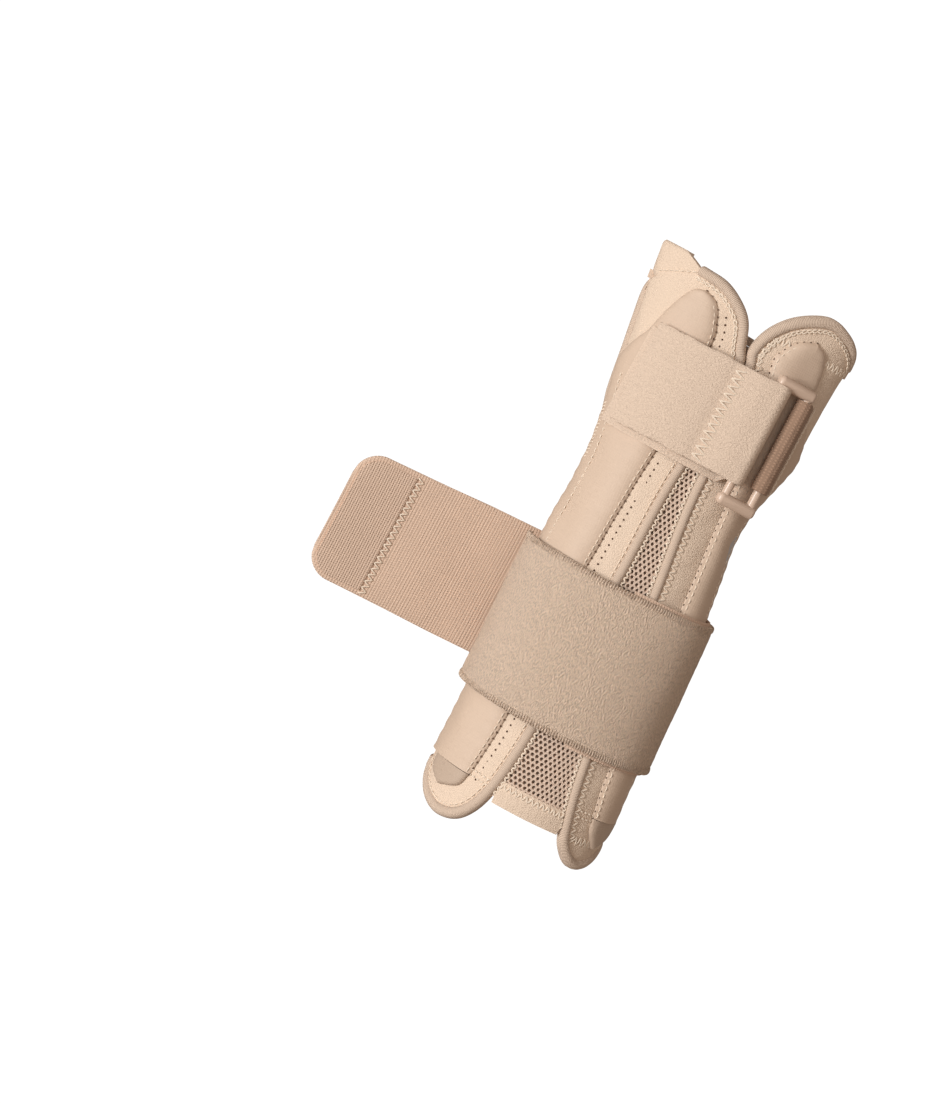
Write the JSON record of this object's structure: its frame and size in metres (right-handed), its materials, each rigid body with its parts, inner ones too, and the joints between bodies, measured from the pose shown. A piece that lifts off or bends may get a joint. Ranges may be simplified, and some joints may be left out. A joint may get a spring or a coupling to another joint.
{
  "type": "wrist splint",
  "caption": "Fabric wrist splint for a right hand, with dorsal and palm stays, thumb hole, hand strap through a ring and a wide forearm strap pulled open.",
  "frame": {"origin": "on the flat underside of the forearm strap, under its middle, where the splint rests palm side down", "axes": "+Z out of the back of the hand, +Y towards the fingers (the longest extent), +X towards the little finger"},
  "size_m": [0.1516, 0.2305, 0.0626],
  "materials": {
    "suede": "brushed microfibre, beige",
    "cover_satin": "smooth satin-finish coated cloth, beige",
    "binding": "fine ribbed knitted tape, beige",
    "mesh": "spacer mesh with round holes, beige",
    "lining": "smooth knitted lining, beige",
    "band": "brushed loop-pile elastic, beige",
    "band_back": "ribbed inner face of the elastic, pinkish tan",
    "webbing": "brushed loop webbing, beige",
    "anchor_elastic": "ribbed elastic, tan",
    "hook": "moulded hook tape, tan",
    "ring_plastic": "moulded plastic, pinkish beige, semi-gloss",
    "stay_metal": "satin aluminium strip"
  },
  "bodies": {
    "sleeve": {"radial_panel": "suede", "radial_binding": "binding", "ulnar_panel": "suede", "ulnar_binding": "binding", "radial_stay_pocket": "cover_satin", "radial_stay": "stay_metal", "ulnar_stay_pocket": "cover_satin", "ulnar_stay": "stay_metal", "mesh_panel": "mesh", "mesh_hem": "suede", "radial_lining": "lining", "ulnar_lining": "lining", "palm_lining": "lining", "palm_shell": "suede", "palm_lower_hem": "binding", "palm_upper_hem": "binding", "thumb_web_strip": "suede", "thumb_hole_binding": "binding", "palm_stay_pocket": "cover_satin", "hand_strap_base": "webbing", "ring_anchor": "anchor_elastic", "forearm_band": "band", "forearm_under_strap": "band"},
    "palm_stay": {"palm_stay": "stay_metal"},
    "ring": {"ring_buckle": "ring_plastic"},
    "hand_loop": {"hand_strap_loop": "webbing"},
    "hand_tab": {"hand_strap_tab": "webbing", "hand_tab_hooks": "hook"},
    "strap_root": {"forearm_strap_root": "band_back"},
    "strap_middle": {"forearm_strap_middle": "band_back"},
    "strap_end": {"forearm_strap_end": "band_back"},
    "strap_tab": {"forearm_strap_tab": "band_back", "forearm_tab_hooks": "hook"}
  },
  "joints": [
    {"name": "palm_stay_slide", "type": "slide", "parent": "sleeve", "child": "palm_stay", "axis": [0, -1, 0], "range_m": [0, 0.15]},
    {"name": "ring_swing", "type": "hinge", "parent": "sleeve", "child": "ring", "pos_m": [0.02488, 0.09985, 0.04306], "axis": [0, 0.9981, -0.061], "range_deg": [0, 40]},
    {"name": "hand_loop_turn", "type": "hinge", "parent": "ring", "child": "hand_loop", "pos_m": [0.01392, 0.10015, 0.04794], "axis": [0, 0.9981, -0.061], "range_deg": [0, 120]},
    {"name": "hand_tab_peel", "type": "hinge", "parent": "hand_loop", "child": "hand_tab", "pos_m": [-0.00185, 0.1, 0.0494], "axis": [0, 0.9981, -0.061], "range_deg": [0, 70]},
    {"name": "forearm_strap_wrap", "type": "hinge", "parent": "sleeve", "child": "strap_root", "pos_m": [-0.0217, 0.0033, 0.00223], "axis": [0, 1, 0], "range_deg": [-4, 20]},
    {"name": "forearm_strap_bend", "type": "hinge", "parent": "strap_root", "child": "strap_middle", "pos_m": [-0.04596, 0.0033, 0.00828], "axis": [0, 1, 0], "range_deg": [-9, 45]},
    {"name": "forearm_strap_curl", "type": "hinge", "parent": "strap_middle", "child": "strap_end", "pos_m": [-0.06827, 0.0033, 0.01384], "axis": [0, 1, 0], "range_deg": [-9, 45]},
    {"name": "forearm_tab_bend", "type": "hinge", "parent": "strap_end", "child": "strap_tab", "pos_m": [-0.08477, 0.0033, 0.01795], "axis": [0, 1, 0], "range_deg": [-45, 34]}
  ]
}
